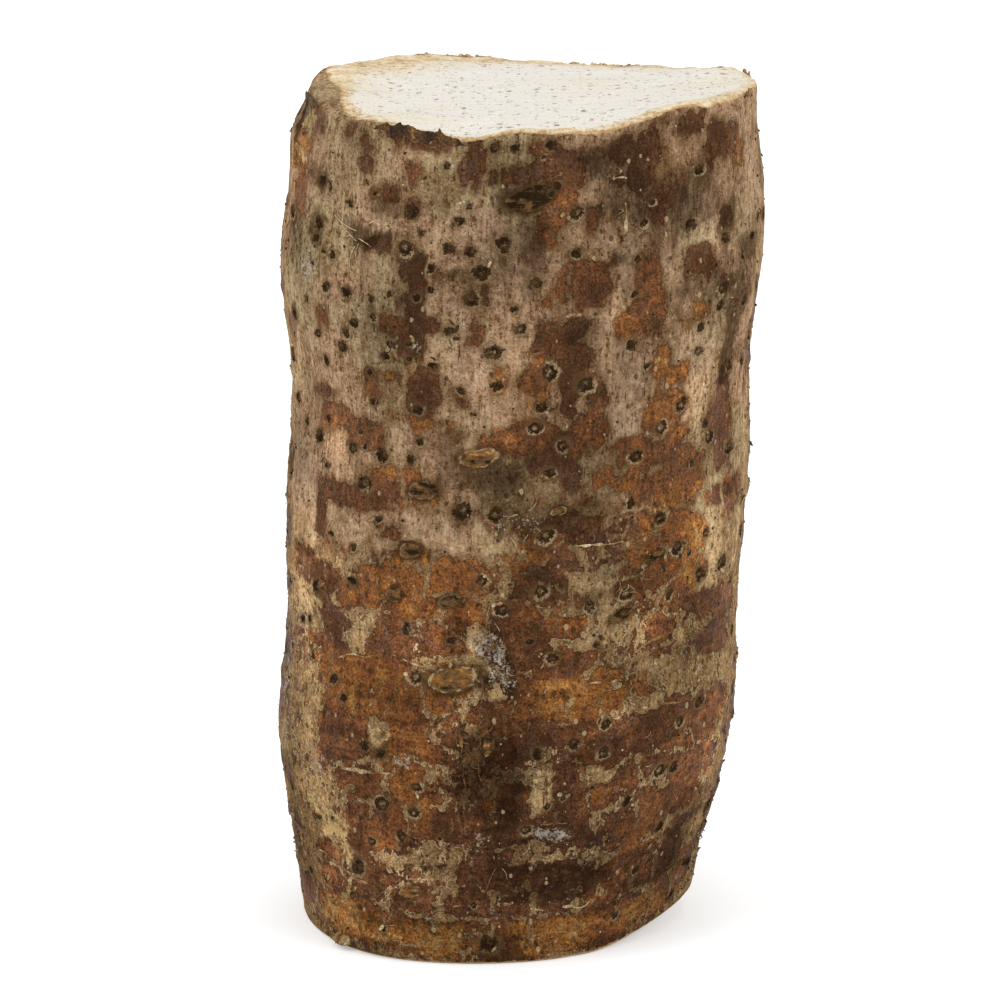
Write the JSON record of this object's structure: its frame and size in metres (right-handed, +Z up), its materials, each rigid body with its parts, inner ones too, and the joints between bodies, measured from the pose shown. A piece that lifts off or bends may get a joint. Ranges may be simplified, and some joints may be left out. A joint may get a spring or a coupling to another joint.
{
  "type": "malanga corm",
  "caption": "Trimmed malanga corm: an upright, barrel-shaped root vegetable with papery, ringed brown skin, cut flat across both ends to show pale speckled flesh.",
  "frame": {"origin": "on the surface that the corm stands on, at the middle of its box seen from above", "axes": "+Z up along the corm from the lower cut to the upper cut, -Y the front that the picture shows, +X to the right of that front"},
  "size_m": [0.0948, 0.0896, 0.1666],
  "materials": {
    "corm_skin": "matte papery brown skin with worn mahogany patches and off-white cut flesh"
  },
  "bodies": {
    "root": {"corm": "corm_skin"}
  },
  "joints": []
}
